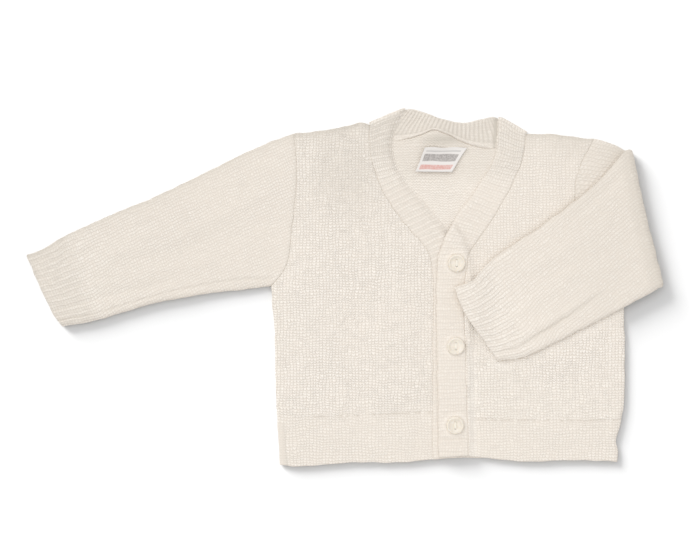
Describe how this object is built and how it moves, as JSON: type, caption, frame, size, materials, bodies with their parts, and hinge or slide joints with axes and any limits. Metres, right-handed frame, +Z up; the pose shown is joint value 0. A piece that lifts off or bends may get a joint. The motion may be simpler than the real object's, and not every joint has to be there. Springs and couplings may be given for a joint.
{
  "type": "baby cardigan",
  "caption": "Long-sleeved knitted baby cardigan with a V neck, ribbed front band, ribbed cuffs and round buttons, laid flat with one sleeve folded over the front.",
  "frame": {"origin": "middle of the outline, on the surface that the cardigan lies on", "axes": "+X from the wearer's right sleeve to the folded left one, +Y from the hem to the neck, +Z up out of the front"},
  "size_m": [0.4457, 0.2515, 0.0126],
  "materials": {
    "knit": "matt off-white acrylic knit",
    "label": "white satin ribbon, bare",
    "button": "pearly cream plastic"
  },
  "bodies": {
    "root": {"back_panel": "knit", "right_front": "knit", "left_front": "knit", "right_sleeve": "knit", "left_sleeve": "knit", "front_band": "knit", "neck_label": "label", "button_1": "button", "button_2": "button", "button_3": "button"}
  },
  "joints": []
}
